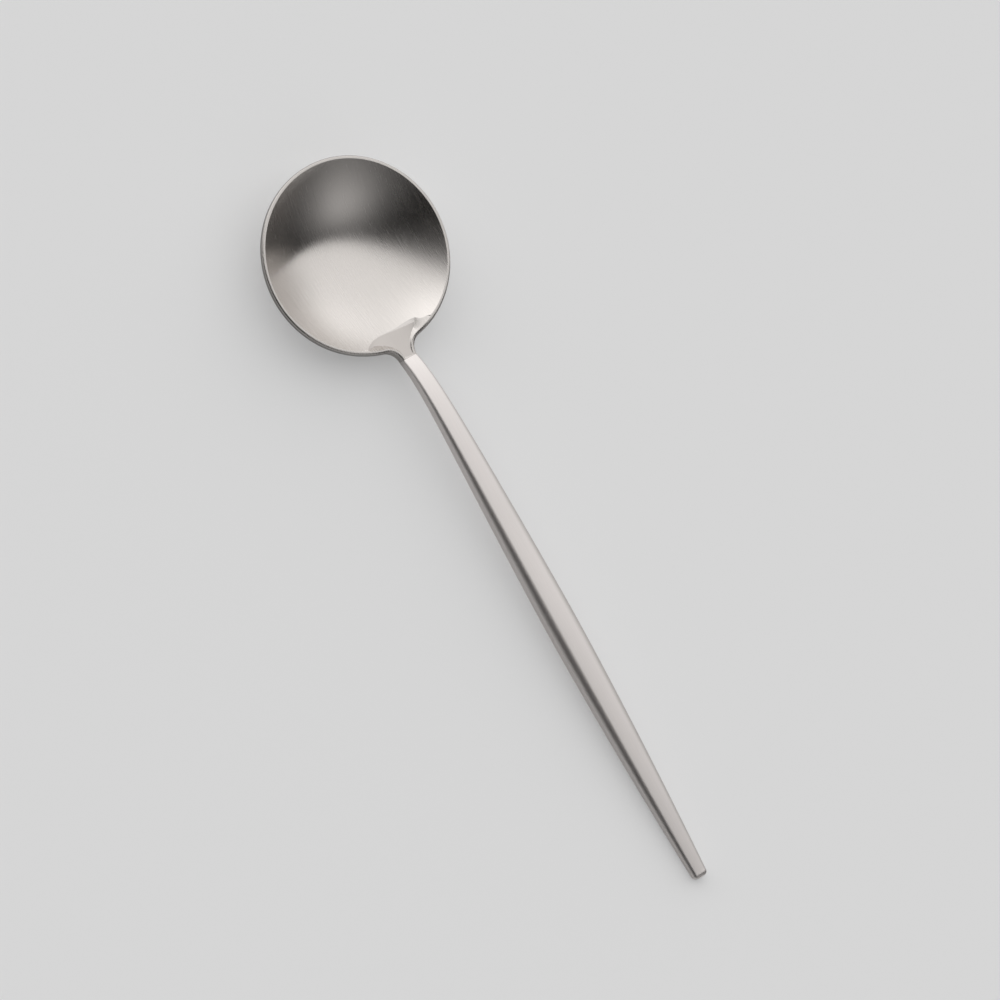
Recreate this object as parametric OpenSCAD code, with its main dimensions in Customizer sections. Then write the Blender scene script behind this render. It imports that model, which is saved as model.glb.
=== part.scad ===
// Round-bowled soup spoon, lying on a table on its bowl and the tip of its handle.
// X runs along the spoon towards the tip, Z is up, and the origin is at the middle of the footprint.

/* [Spoon] */
// Length from the far edge of the bowl to the tip of the handle
overall_length = 185; // [160:1:230]
// Distance from the far edge of the bowl to the line where the handle starts
neck_from_bowl_end = 49; // [48.4:0.2:52]

/* [Bowl] */
// Length of the bowl's outline along the spoon
bowl_length = 46; // [40:0.5:48]
// Width of the bowl's outline across the spoon
bowl_width = 44.6; // [38:0.5:50]
// Depth of the hollow below the middle of the rim
bowl_depth = 9.4; // [7:0.1:14]
// Thickness of the sheet under the deepest point
wall = 1.1; // [0.8:0.1:2]
// Width of the flat top of the rim
rim_width = 0.75; // [0.5:0.05:1.2]
// Height of the rim's outer edge away from the neck
rim_height = 2; // [1.4:0.1:2.6]
// Rounding of the outer edges of the rim and of the neck
edge_radius = 0.45; // [0.1:0.05:0.45]
// Fall of the rim towards the handle, in degrees
rim_pitch = 3.4; // [0:0.2:6]
// How sharply the hollow steepens towards the rim
hollow_power = 2.2; // [1.8:0.1:3]

/* [Neck] */
// Width of the neck
neck_width = 3.8; // [2.8:0.1:5]
// Thickness of the neck
neck_thickness = 3.3; // [2.4:0.1:4.5]
// Height of the top of the neck above the table
neck_top = 7.15; // [6:0.05:8]
// Length over which the neck bends up into the handle
neck_bend = 6.7; // [3:0.1:12]
// Fall of the flat heel inside the bowl for each unit of length
heel_fall = 0.08; // [0:0.01:0.2]
// Width of the heel between the places where its sides have turned up
heel_width = 10; // [8:0.2:14]
// How far the heel's sides have turned up there
heel_upturn = 0.45; // [0.1:0.05:0.6]
// Slope of the walls that lead down from the rim to the sides of the heel
heel_wall_slope = 0.85; // [0.7:0.05:1.5]

/* [Handle] */
// Rise of the handle from its tip, in degrees
handle_rise = 3.38; // [2.6:0.01:4.4]
// Width of the handle at its widest
handle_width = 7.2; // [5:0.1:10]
// Thickness of the handle where it is widest
handle_thickness = 5.5; // [3.6:0.1:7]
// Corner radius of the handle where it is widest
handle_radius = 1.8; // [0.6:0.1:2.2]
// Distance from the neck line to the widest place
belly_from_neck = 70; // [50:1:90]
// Width of the tip
tip_width = 3.5; // [2.6:0.1:5]
// Thickness of the tip
tip_thickness = 2.8; // [2.2:0.1:4]
// Rounding of the tip's end seen from the side
tip_radius = 0.7; // [0.2:0.05:0.8]
// Rounding of the tip's end seen from above
tip_corner = 1.1; // [0.3:0.05:1.2]

/* [Hidden] */

// Places along the spoon
bowl_end_x = -overall_length / 2;
tip_x = overall_length / 2;
round_x = tip_x - tip_corner;
bowl_x = bowl_end_x + bowl_length / 2;
neck_x = bowl_end_x + neck_from_bowl_end;
belly_x = neck_x + belly_from_neck;
neck_run = neck_x - bowl_x;

// Half sizes of the bowl's outline, and heights at its middle
half_length = bowl_length / 2;
half_width = bowl_width / 2;
half_neck = neck_width / 2;
stretch = half_length / half_width;
rim_top = wall + bowl_depth;

// Fillet that leaves the bowl's outline and meets the neck's side just at the neck line,
// worked out in the frame where the outline is a circle
fillet_x = neck_run / stretch;
neck_fillet = (pow(fillet_x, 2) - pow(half_width, 2) + pow(half_neck, 2)) / (half_width - half_neck) / 2;
fillet_y = half_neck + neck_fillet;

// Angles, seen from the bowl's middle, of the neck's corner and of the far end of its fillet
neck_angle = atan(half_neck / neck_run);
fillet_angle = atan(fillet_y / fillet_x / stretch);

// How far round the rim the neck's dip and its thicker edge reach, in degrees
dip_reach = 14;
dip_power = 4;
root_reach = 20;
root_power = 3;
// Softness of the root's meeting with the outer bowl
root_blend = 3;

// Counts of rays round the bowl, of rings and of stations
side_rays = 52;
ray_spread_power = 1.6;
hollow_rings = 16;
under_rings = 12;
ring_spread_power = 1.7;
// Rings of the hollow that lie on the heel's creases
crease_ring = 10;
wall_ring = 13;
// Ring of the underside that lies on the fold by the root
fold_ring = 8;
// How sharply the heel's sides turn up
heel_power = 3;
// Limits, as shares of a ray, that keep the creases inside the rim
last_crease_share = 0.985;
last_wall_share = 0.995;
least_heel_share = 0.15;
crossing_tries = 20;
edge_steps = 3;
corner_steps = 5;
handle_stations = 48;
tip_steps = 6;
station_spread_power = 1.4;
// Growth of the handle's section from the belly towards the neck and towards the tip
neck_taper_power = 1.5;
tip_taper_power = 1.7;

function mix(a, b, t) = a + (b - a) * t;
function bell(angle, reach, power) = 1 / (1 + pow(abs(angle) / reach, power));
function soft_min(a, b, blend) = (a + b - sqrt(pow(a - b, 2) + pow(blend, 2))) / 2;

// Outline of the bowl with its neck, as a distance from the bowl's middle at an angle

// Distance to an ellipse with the given half sizes
function oval(angle, a, b) = a * b / sqrt(pow(b * cos(angle), 2) + pow(a * sin(angle), 2));

// Distance to the fillet, again in the frame where the outline is a circle
function fillet_distance(angle) =
    let (
        flat_angle = atan2(sin(angle) * stretch, cos(angle)),
        along = fillet_x * cos(flat_angle) + fillet_y * sin(flat_angle),
        gap = pow(half_width + neck_fillet, 2) - pow(neck_fillet, 2),
        reach = along - sqrt(max(0, pow(along, 2) - gap))
    )
    reach * norm([cos(flat_angle) * stretch, sin(flat_angle)]);

function outline_distance(angle) =
    angle < fillet_angle ? fillet_distance(angle) : oval(angle, half_length, half_width);

// Point of the outline and the direction square to it, pointing out, on the left half
probe_angle = 0.05;
function half_point(angle) =
    angle <= neck_angle ? [neck_x, half_neck]
    : outline_distance(angle) * [cos(angle), sin(angle)] + [bowl_x, 0];
function half_normal(angle) =
    let (step = half_point(angle + probe_angle) - half_point(angle - probe_angle))
    angle <= neck_angle ? [0, 1]
    : angle >= 180 ? [-1, 0]
    : [step[1], -step[0]] / norm(step);

// The same on both halves
function mirrored(p, angle) = [p[0], angle < 0 ? -p[1] : p[1]];
function outline_point(angle) = mirrored(half_point(abs(angle)), angle);
function outline_normal(angle) = mirrored(half_normal(abs(angle)), angle);

// Heights of the rim and of the two faces of the bowl

function flat_rim(angle) =
    rim_top - tan(rim_pitch) * oval(angle, half_length, half_width) * cos(angle);

neck_dip = flat_rim(0) - neck_top;
function rim_z(angle) = flat_rim(angle) - neck_dip * bell(angle, dip_reach, dip_power);
function edge_height(angle) =
    mix(rim_height, neck_thickness, bell(angle, root_reach, root_power));

// Share of the way out to an oval at a point of the plan
function oval_share(p, a, b) = norm([(p[0] - bowl_x) / a, p[1] / b]);

// Distance in the plan from the inner lip of the rim
function lip_gap(p, angle) =
    abs(angle) < fillet_angle
        ? norm([(p[0] - bowl_x) / stretch - fillet_x, abs(p[1]) - fillet_y]) - neck_fillet - rim_width
        : (1 - oval_share(p, half_length, half_width)) * oval(angle, half_length, half_width) - rim_width;

// Top face: the pressed hollow, cut down at the neck by the flat heel between its two walls
function pressed_z(p, angle) =
    let (out = oval_share(p, half_length - rim_width, half_width - rim_width))
    mix(wall, flat_rim(angle), pow(out, hollow_power));
function heel_z(p) =
    neck_top - heel_fall * (neck_x - p[0]) + heel_upturn * pow(2 * abs(p[1]) / heel_width, heel_power);
function heel_wall_z(p, angle) = rim_z(angle) - heel_wall_slope * lip_gap(p, angle);
function far_side(angle) = cos(angle) < 0;
function cut_z(p, angle) = min(rim_z(angle), max(heel_z(p), heel_wall_z(p, angle)));
function hollow_z(p, angle) =
    far_side(angle) ? pressed_z(p, angle) : min(pressed_z(p, angle), cut_z(p, angle));

// Underside: the outer bowl, cut off level by the neck's root
function outer_z(p, angle) =
    (flat_rim(angle) - rim_height) * pow(oval_share(p, half_length, half_width), hollow_power);
function root_z(angle) = rim_z(angle) - edge_height(angle);
function under_z(p, angle, share) =
    let (softness = bell(angle, root_reach, root_power) * share * (1 - pow(share, root_power)))
    soft_min(root_z(angle), outer_z(p, angle), root_blend * softness);

// Rays from the bowl's middle: three end on the neck's end face, and the rest on the rim
side_angles = [for (i = [0:side_rays])
    mix(neck_angle, 180, pow(i / side_rays, ray_spread_power))];
face_angle = atan((half_neck - rim_width) / neck_run / 2);
ray_angles = concat(
    [0, face_angle],
    side_angles,
    [for (i = [side_rays - 1:-1:0]) -side_angles[i]],
    [-face_angle]
);
ray_count = len(ray_angles);
first_side = 2;
last_side = ray_count - 2;
function on_face(ray) = ray < first_side || ray > last_side;

// Rim profile at a ray: the inner lip first, then round the outer edge to the underside
function rim_profile(angle) =
    let (
        top = rim_z(angle),
        low = top - edge_height(angle),
        edge = outline_point(angle),
        inward = -outline_normal(angle),
        at = function (depth, z) [edge[0] + inward[0] * depth, edge[1] + inward[1] * depth, z]
    )
    concat(
        [at(rim_width, top)],
        [for (i = [0:edge_steps]) let (turn = 90 * i / edge_steps)
            at(edge_radius * (1 - sin(turn)), top - edge_radius * (1 - cos(turn)))],
        [for (i = [edge_steps:-1:0]) let (turn = 90 * i / edge_steps)
            at(edge_radius * (1 - sin(turn)), low + edge_radius * (1 - cos(turn)))]
    );
profile_points = 2 * edge_steps + 3;

// Points of the neck's end face, level with its corners
face_top = rim_z(neck_angle);
face_low = face_top - edge_height(neck_angle);
function face_point(angle, z) = [neck_x, neck_run * tan(angle), z];
function lip_point(angle) =
    abs(angle) < neck_angle ? face_point(angle, face_top) : rim_profile(angle)[0];
function keel_point(angle) =
    abs(angle) < neck_angle ? face_point(angle, face_low) : rim_profile(angle)[profile_points - 1];

// Point of the plan on a ray, and shares that crowd towards the end
function plan_mix(edge_point, share) =
    [mix(bowl_x, edge_point[0], share), edge_point[1] * share];
function spread(i, count) = 1 - pow(1 - i / count, ring_spread_power);

// Share of the way out at which a height function first turns positive
function crossing(height, low, high, tries) =
    let (middle = (low + high) / 2)
    tries == 0 ? middle
    : height(middle) > 0 ? crossing(height, low, middle, tries - 1)
    : crossing(height, middle, high, tries - 1);

// Shares of a ray at which the hollow meets the heel, and the heel meets the wall beside it
function heel_start(angle, lip) =
    far_side(angle) ? last_crease_share
    : crossing(function (share) let (p = plan_mix(lip, share)) pressed_z(p, angle) - cut_z(p, angle),
        0, last_crease_share, crossing_tries);
function heel_end(angle, lip) =
    far_side(angle) ? last_wall_share
    : crossing(function (share) let (p = plan_mix(lip, share)) heel_wall_z(p, angle) - heel_z(p),
        0, last_wall_share, crossing_tries);

// Rings of the hollow along a ray, with one on each crease of the heel
function hollow_ray(angle) =
    let (
        lip = lip_point(angle),
        start = heel_start(angle, lip),
        end = max(heel_end(angle, lip), mix(start, 1, least_heel_share))
    )
    [for (i = [1:hollow_rings])
        let (
            share = i <= crease_ring
                ? start * spread(i, crease_ring)
                : i <= wall_ring ? mix(start, end, (i - crease_ring) / (wall_ring - crease_ring))
                : mix(end, 1, (i - wall_ring) / (hollow_rings - wall_ring)),
            p = plan_mix(lip, share)
        )
        i == hollow_rings ? lip : [p[0], p[1], hollow_z(p, angle)]];

// Rings of the underside along a ray, with one where the bowl meets its root
function under_ray(angle) =
    let (
        keel = keel_point(angle),
        fold = crossing(function (share) outer_z(plan_mix(keel, share), angle) - root_z(angle),
            0, last_crease_share, crossing_tries)
    )
    [for (i = [1:under_rings])
        let (
            share = i <= fold_ring
                ? fold * spread(i, fold_ring)
                : mix(fold, 1, (i - fold_ring) / (under_rings - fold_ring)),
            p = plan_mix(keel, share)
        )
        i == under_rings ? keel : [p[0], p[1], under_z(p, angle, share)]];

// Two triangles between neighbouring points of two rows
function quad(a, b, c, d) = [[a, b, c], [a, c, d]];

module bowl() {
    hollow_rays = [for (angle = ray_angles) hollow_ray(angle)];
    under_rays = [for (angle = ray_angles) under_ray(angle)];
    hollow = [for (i = [0:hollow_rings - 1]) for (line = hollow_rays) line[i]];
    under = [for (i = [0:under_rings - 1]) for (line = under_rays) line[i]];
    edge_rows = profile_points - 2;
    side_count = last_side - first_side + 1;
    profiles = [for (ray = [first_side:last_side]) rim_profile(ray_angles[ray])];
    rim = [for (k = [1:edge_rows]) for (s = [0:side_count - 1]) profiles[s][k]];
    under_start = len(hollow);
    rim_start = under_start + len(under);
    top_middle = rim_start + len(rim);
    low_middle = top_middle + 1;
    end_middle = low_middle + 1;
    lip_row = (hollow_rings - 1) * ray_count;
    keel_row = under_start + (under_rings - 1) * ray_count;
    edge_point = function (k, s)
        k == 0 ? lip_row + first_side + s
        : k == edge_rows + 1 ? keel_row + first_side + s
        : rim_start + (k - 1) * side_count + s;
    next = function (ray) (ray + 1) % ray_count;
    top_faces = [for (i = [0:hollow_rings - 2]) for (ray = [0:ray_count - 1])
        let (row = i * ray_count, up = row + ray_count)
        each quad(row + ray, row + next(ray), up + next(ray), up + ray)];
    low_faces = [for (i = [0:under_rings - 2]) for (ray = [0:ray_count - 1])
        let (row = under_start + i * ray_count, up = row + ray_count)
        each quad(row + next(ray), row + ray, up + ray, up + next(ray))];
    rim_faces = [for (k = [0:edge_rows]) for (s = [0:side_count - 2])
        each quad(edge_point(k, s), edge_point(k, s + 1), edge_point(k + 1, s + 1), edge_point(k + 1, s))];
    middles = [for (ray = [0:ray_count - 1])
        each [
            [top_middle, next(ray), ray],
            [low_middle, under_start + ray, under_start + next(ray)]
        ]];
    end_loop = concat(
        [for (ray = [last_side + 1:ray_count - 1]) lip_row + ray],
        [for (ray = [0:first_side - 1]) lip_row + ray],
        [for (k = [0:edge_rows + 1]) edge_point(k, 0)],
        [for (ray = [first_side - 1:-1:0]) keel_row + ray],
        [for (ray = [ray_count - 1:-1:last_side + 1]) keel_row + ray],
        [for (k = [edge_rows + 1:-1:0]) edge_point(k, side_count - 1)]
    );
    end_faces = [for (i = [0:len(end_loop) - 1])
        [end_middle, end_loop[i], end_loop[(i + 1) % len(end_loop)]]];
    color([0.78, 0.77, 0.76])
        polyhedron(
            points = concat(
                hollow, under, rim,
                [[bowl_x, 0, wall], [bowl_x, 0, 0], [neck_x, 0, (face_top + face_low) / 2]]
            ),
            faces = concat(top_faces, low_faces, rim_faces, middles, end_faces)
        );
}

// Share of the way from the belly to the end of its half of the handle
function belly_share(x) =
    x < belly_x ? pow((belly_x - x) / (belly_x - neck_x), neck_taper_power)
    : pow((x - belly_x) / (round_x - belly_x), tip_taper_power);
function handle_size(x, at_neck, at_belly, at_tip) =
    mix(at_belly, x < belly_x ? at_neck : at_tip, belly_share(x));

// Middle line of the handle: straight from the tip, with a drop that dies away from the neck
function straight_z(x) = tip_thickness / 2 + (round_x - x) * tan(handle_rise);
neck_drop = straight_z(neck_x) - (neck_top - neck_thickness / 2);
function handle_z(x) = straight_z(x) - neck_drop * exp((neck_x - x) / neck_bend);

// Rounded rectangle in the plane across the spoon at x, drawn in by a share of the tip's rounding
function handle_section(x, at, share) =
    let (
        full_w = handle_size(x, neck_width, handle_width, tip_width) / 2,
        full_t = handle_size(x, neck_thickness, handle_thickness, tip_thickness) / 2,
        w = full_w - tip_corner * share,
        t = full_t - tip_radius * share,
        r = handle_size(x, edge_radius, handle_radius, tip_radius) * min(w / full_w, t / full_t),
        corners = [[w - r, t - r], [r - w, t - r], [r - w, r - t], [w - r, r - t]]
    )
    [for (c = [0:3]) for (i = [0:corner_steps])
        let (turn = 90 * (c + i / corner_steps))
        [at, corners[c][0] + r * cos(turn), handle_z(x) + corners[c][1] + r * sin(turn)]];

module handle() {
    body = [for (i = [0:handle_stations])
        let (x = mix(neck_x, round_x, pow(i / handle_stations, station_spread_power)))
        handle_section(x, x, 0)];
    tip = [for (i = [1:tip_steps])
        let (turn = 90 * i / tip_steps)
        handle_section(round_x, round_x + tip_corner * sin(turn), 1 - cos(turn))];
    sections = concat(body, tip);
    around = len(sections[0]);
    last = len(sections) - 1;
    color([0.8, 0.79, 0.78])
        polyhedron(
            points = [for (section = sections) each section],
            faces = concat(
                [[for (i = [0:around - 1]) i]],
                [[for (i = [around - 1:-1:0]) last * around + i]],
                [for (s = [0:last - 1]) for (i = [0:around - 1])
                    let (j = (i + 1) % around, row = s * around, up = row + around)
                    each quad(row + i, up + i, up + j, row + j)]
            )
        );
}

bowl();
handle();
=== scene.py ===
"""Round-bowled soup spoon in brushed stainless steel, lying on a plain pale table.

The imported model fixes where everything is. This script dresses its two nodes, the bowl and the
handle, with finer meshes of the same forms and with a brushed finish, and adds the table, the
studio light and the camera. Lengths are in metres and angles in degrees. +X runs towards the tip
of the handle, and a ray's angle is measured at the bowl's middle, from the neck.
"""

from __future__ import annotations

import logging
import math
from dataclasses import dataclass, field
from enum import Enum
from typing import Callable

import bpy
import numpy as np
from mathutils import Matrix, Vector

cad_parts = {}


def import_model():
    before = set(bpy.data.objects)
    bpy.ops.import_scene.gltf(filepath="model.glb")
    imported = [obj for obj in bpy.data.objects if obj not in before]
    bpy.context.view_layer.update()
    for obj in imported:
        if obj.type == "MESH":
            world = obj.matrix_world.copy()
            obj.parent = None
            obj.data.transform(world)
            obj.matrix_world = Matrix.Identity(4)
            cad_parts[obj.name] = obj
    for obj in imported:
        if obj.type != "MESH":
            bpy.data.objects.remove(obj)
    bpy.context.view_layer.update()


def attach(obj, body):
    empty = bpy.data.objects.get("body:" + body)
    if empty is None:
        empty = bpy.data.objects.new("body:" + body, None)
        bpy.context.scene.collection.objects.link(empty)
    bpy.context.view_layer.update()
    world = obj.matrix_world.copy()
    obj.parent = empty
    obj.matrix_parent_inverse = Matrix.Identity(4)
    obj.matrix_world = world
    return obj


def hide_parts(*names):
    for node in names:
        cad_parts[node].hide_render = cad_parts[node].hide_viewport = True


LOG = logging.getLogger("soup_spoon")
BODY = "root"
UV_NAME = "UVMap"
# The edge mask: where it is full, the steel is rougher and its colour is darkened as painted shade
WEAR_AND_SHADE_NAME = "wear_and_shade"


# Sizes


@dataclass(frozen=True)
class SpoonSizes:
    """The spoon's sizes, the same as in the CAD source."""

    # Bowl
    overall_length: float = 0.185
    bowl_length: float = 0.046
    bowl_width: float = 0.0446
    bowl_depth: float = 0.0094
    wall: float = 0.0011
    hollow_power: float = 2.2
    rim_width: float = 0.00075
    rim_height: float = 0.002
    rim_pitch: float = 3.4
    edge_radius: float = 0.00045

    # Neck and heel
    neck_from_bowl_end: float = 0.049
    neck_width: float = 0.0038
    neck_thickness: float = 0.0033
    neck_top: float = 0.00715
    neck_bend: float = 0.0067
    dip_reach: float = 14.0
    dip_power: float = 4.0
    root_reach: float = 20.0
    root_power: float = 3.0
    root_blend: float = 0.003
    heel_fall: float = 0.08
    heel_width: float = 0.010
    heel_upturn: float = 0.00045
    heel_power: float = 3.0
    heel_wall_slope: float = 0.85

    # Handle
    handle_rise: float = 3.38
    handle_width: float = 0.0072
    handle_thickness: float = 0.0055
    handle_radius: float = 0.0018
    belly_from_neck: float = 0.070
    neck_taper_power: float = 1.5
    tip_taper_power: float = 1.7
    tip_width: float = 0.0035
    tip_thickness: float = 0.0028
    tip_radius: float = 0.0007
    tip_corner: float = 0.0011

    @property
    def bowl_x(self) -> float:
        """Place of the bowl's middle along the spoon."""
        return (self.bowl_length - self.overall_length) / 2

    @property
    def neck_x(self) -> float:
        """Place of the line where the handle starts."""
        return self.neck_from_bowl_end - self.overall_length / 2

    @property
    def belly_x(self) -> float:
        """Place of the handle's widest section."""
        return self.neck_x + self.belly_from_neck

    @property
    def tip_x(self) -> float:
        """Place of the handle's end."""
        return self.overall_length / 2

    @property
    def round_x(self) -> float:
        """Place where the rounding of the tip starts."""
        return self.tip_x - self.tip_corner

    @property
    def rise_slope(self) -> float:
        """Slope of the straight part of the handle."""
        return math.tan(math.radians(self.handle_rise))

    @property
    def neck_drop(self) -> float:
        """How far the neck's middle lies under the straight line of the handle."""
        straight = self.tip_thickness / 2 + (self.round_x - self.neck_x) * self.rise_slope
        return straight - (self.neck_top - self.neck_thickness / 2)


# Node arithmetic


class Kind(Enum):
    """What a Mix node mixes."""

    NUMBER = "FLOAT"
    COLOUR = "RGBA"


class Term:
    """A number in a node tree, on which plain arithmetic adds Math nodes."""

    def __init__(self, tree: bpy.types.NodeTree, socket: bpy.types.NodeSocket) -> None:
        """Keeps the tree and the socket that holds the number."""
        self.tree = tree
        self.socket = socket

    @classmethod
    def fixed(cls, tree: bpy.types.NodeTree, number: float) -> Term:
        """Adds a Value node.

        Args:
            tree: the tree that it goes into.
            number: its value.

        Returns:
            The number as a term.
        """
        node = tree.nodes.new("ShaderNodeValue")
        node.outputs["Value"].default_value = number
        return cls(tree, node.outputs["Value"])

    def math(self, operation: str, *others: Term | float) -> Term:
        """Adds a Math node.

        Args:
            operation: the node's operation.
            others: the numbers after this one.

        Returns:
            The result.
        """
        node = self.tree.nodes.new("ShaderNodeMath")
        node.operation = operation
        for socket, value in zip(node.inputs, (self, *others)):
            feed(self.tree, socket, value)
        return Term(self.tree, node.outputs["Value"])

    def __add__(self, other: Term | float) -> Term:
        """This plus another."""
        return self.math("ADD", other)

    def __sub__(self, other: Term | float) -> Term:
        """This minus another."""
        return self.math("SUBTRACT", other)

    def __mul__(self, other: Term | float) -> Term:
        """This times another."""
        return self.math("MULTIPLY", other)

    def __truediv__(self, other: Term | float) -> Term:
        """This over another."""
        return self.math("DIVIDE", other)

    def __neg__(self) -> Term:
        """This with its sign turned round."""
        return self.math("MULTIPLY", -1.0)

    def power(self, other: Term | float) -> Term:
        """This to a power."""
        return self.math("POWER", other)

    def clamp(self) -> Term:
        """This, held between 0 and 1."""
        return self.math("MAXIMUM", 0.0).math("MINIMUM", 1.0)

    def to(self, other: Term, share: Term) -> Term:
        """This mixed with a share of another."""
        return self + (other - self) * share


def feed(tree: bpy.types.NodeTree, socket: bpy.types.NodeSocket, value: object) -> None:
    """Sets an input of a node.

    Args:
        tree: the node tree.
        socket: the input.
        value: a term or a socket to link to it, or its fixed value.
    """
    source = value.socket if isinstance(value, Term) else value
    if isinstance(source, bpy.types.NodeSocket):
        tree.links.new(source, socket)
    else:
        socket.default_value = source


def mixed(
    tree: bpy.types.NodeTree, kind: Kind, first: object, second: object, share: object
) -> bpy.types.NodeSocket:
    """Adds a Mix node.

    Args:
        tree: the material's nodes.
        kind: what it mixes.
        first: a term, a socket or a fixed value.
        second: the same.
        share: the share of the second.

    Returns:
        The mixed value.
    """
    node = tree.nodes.new("ShaderNodeMix")
    node.data_type = kind.value
    for name, value in (("A", first), ("B", second), ("Factor", share)):
        feed(tree, node.inputs[name], value)
    return node.outputs["Result"]


# Finishes


@dataclass(frozen=True)
class BrushedSteel:
    """A brushed stainless steel finish whose grain follows the piece's own UV map."""

    name: str
    colour: tuple[float, float, float]
    roughness: float
    stretch: float

    # Tone and polish, and the extra roughness and painted shade that the edge mask adds
    tone: float = 0.05
    uneven: float = 0.04
    worn_roughness: float = 0.06
    # Share of the colour left where the edge mask is full: painted shade standing in for shade and dark
    # reflections
    painted_shade_light: float = 0.4
    ior: float = 2.5
    stretch_turn: float = 0.25

    # Brush lines, finer ones among them, and clouds of uneven polish
    depth: float = 0.000012
    bump_strength: float = 0.6
    line_length: float = 0.009
    line_width: float = 0.00024
    line_layers: float = 3.0
    line_layer_strength: float = 0.62
    finer_along: float = 2.6
    finer_across: float = 3.1
    finer_share: float = 0.4
    clouds_along: float = 22.0
    clouds_across: float = 60.0
    clouds_share: float = 0.3
    soft_layers: float = 2.0
    soft_layer_strength: float = 0.5
    noise_low: float = 0.3
    noise_high: float = 0.7

    def material(self) -> bpy.types.Material:
        """Builds the finish.

        Returns:
            A node material with grain, uneven polish, and rougher edges darkened with painted shade.
        """
        made = bpy.data.materials.new(self.name)
        made.use_nodes = True
        tree = made.node_tree
        tree.nodes.clear()
        out = tree.nodes.new("ShaderNodeOutputMaterial")
        shader = tree.nodes.new("ShaderNodeBsdfPrincipled")
        shader.inputs["Metallic"].default_value = 1.0
        shader.inputs["IOR"].default_value = self.ior
        shader.inputs["Anisotropic"].default_value = self.stretch
        shader.inputs["Anisotropic Rotation"].default_value = self.stretch_turn
        tree.links.new(shader.outputs["BSDF"], out.inputs["Surface"])

        wear_and_shade = tree.nodes.new("ShaderNodeAttribute")
        wear_and_shade.attribute_name = WEAR_AND_SHADE_NAME
        worn_and_shaded = wear_and_shade.outputs["Fac"]
        lines = self._lines(tree)
        tree.links.new(self._roughness(tree, lines, worn_and_shaded), shader.inputs["Roughness"])
        tree.links.new(self._colour(tree, lines, worn_and_shaded), shader.inputs["Base Color"])

        bump = tree.nodes.new("ShaderNodeBump")
        bump.inputs["Distance"].default_value = self.depth
        bump.inputs["Strength"].default_value = self.bump_strength
        tree.links.new(lines, bump.inputs["Height"])
        tree.links.new(bump.outputs["Normal"], shader.inputs["Normal"])

        tangent = tree.nodes.new("ShaderNodeTangent")
        tangent.direction_type = "UV_MAP"
        tangent.uv_map = UV_NAME
        tree.links.new(tangent.outputs["Tangent"], shader.inputs["Tangent"])
        return made

    def shade(self, light: float) -> tuple[float, float, float, float]:
        """The finish's colour, lighter or darker."""
        return (*[min(1.0, part * light) for part in self.colour], 1.0)

    def in_facet(
        self, tree: bpy.types.NodeTree, value: bpy.types.NodeSocket, kind: Kind
    ) -> bpy.types.NodeSocket:
        """The value itself, because this finish covers its whole slot."""
        return value

    def _lines(self, tree: bpy.types.NodeTree) -> bpy.types.NodeSocket:
        """Adds the brush lines.

        Args:
            tree: the material's nodes.

        Returns:
            The strength of the lines, coarse and fine.
        """
        scale = (1 / self.line_length, 1 / self.line_width)
        finer_scale = (self.finer_along / self.line_length, self.finer_across / self.line_width)
        coarse = self._noise(tree, scale, self.line_layers, self.line_layer_strength)
        finer = self._noise(tree, finer_scale, self.soft_layers, self.soft_layer_strength)
        return mixed(tree, Kind.NUMBER, coarse, finer, self.finer_share)

    def _roughness(
        self, tree: bpy.types.NodeTree, lines: bpy.types.NodeSocket, worn_and_shaded: bpy.types.NodeSocket
    ) -> bpy.types.NodeSocket:
        """Works out the roughness.

        Args:
            tree: the material's nodes.
            lines: the strength of the brush lines.
            worn_and_shaded: the share of edge wear and painted shade at the point.

        Returns:
            The roughness, uneven with the lines and the clouds and higher where the steel is worn.
        """
        scale = (self.clouds_along, self.clouds_across)
        clouds = self._noise(tree, scale, self.soft_layers, self.soft_layer_strength)
        polish = mixed(tree, Kind.NUMBER, lines, clouds, self.clouds_share)
        rough = self._spread(tree, polish, self.roughness - self.uneven, self.roughness + self.uneven)
        total = Term(tree, worn_and_shaded) * self.worn_roughness + Term(tree, rough)
        return self.in_facet(tree, total.socket, Kind.NUMBER)

    def _colour(
        self, tree: bpy.types.NodeTree, lines: bpy.types.NodeSocket, worn_and_shaded: bpy.types.NodeSocket
    ) -> bpy.types.NodeSocket:
        """Works out the colour.

        Args:
            tree: the material's nodes.
            lines: the strength of the brush lines.
            worn_and_shaded: the wear.

        Returns:
            The colour, lighter and darker with the lines and darker on the marked edges, as painted shade.
        """
        share = self._spread(tree, lines, 0.0, 1.0)
        tint = mixed(tree, Kind.COLOUR, self.shade(1 - self.tone), self.shade(1 + self.tone), share)
        # Painted shade: the colour is darkened on the marked edges to stand in for shade and dark
        # reflections
        shaded = mixed(tree, Kind.COLOUR, tint, self.shade(self.painted_shade_light), worn_and_shaded)
        return self.in_facet(tree, shaded, Kind.COLOUR)

    def _noise(
        self,
        tree: bpy.types.NodeTree,
        scale: tuple[float, float],
        layers: float,
        layer_strength: float,
    ) -> bpy.types.NodeSocket:
        """Adds a noise stretched along the grain.

        Args:
            tree: the material's nodes.
            scale: how many times the noise repeats in a metre along and across the grain.
            layers: how many finer layers it has.
            layer_strength: the strength of the finer layers.

        Returns:
            The noise's value.
        """
        place = tree.nodes.new("ShaderNodeUVMap")
        place.uv_map = UV_NAME
        mapping = tree.nodes.new("ShaderNodeMapping")
        mapping.inputs["Scale"].default_value = (*scale, 1.0)
        noise = tree.nodes.new("ShaderNodeTexNoise")
        noise.noise_dimensions = "2D"
        noise.inputs["Scale"].default_value = 1.0
        noise.inputs["Detail"].default_value = layers
        noise.inputs["Roughness"].default_value = layer_strength
        tree.links.new(place.outputs["UV"], mapping.inputs["Vector"])
        tree.links.new(mapping.outputs["Vector"], noise.inputs["Vector"])
        return noise.outputs["Fac"]

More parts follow.
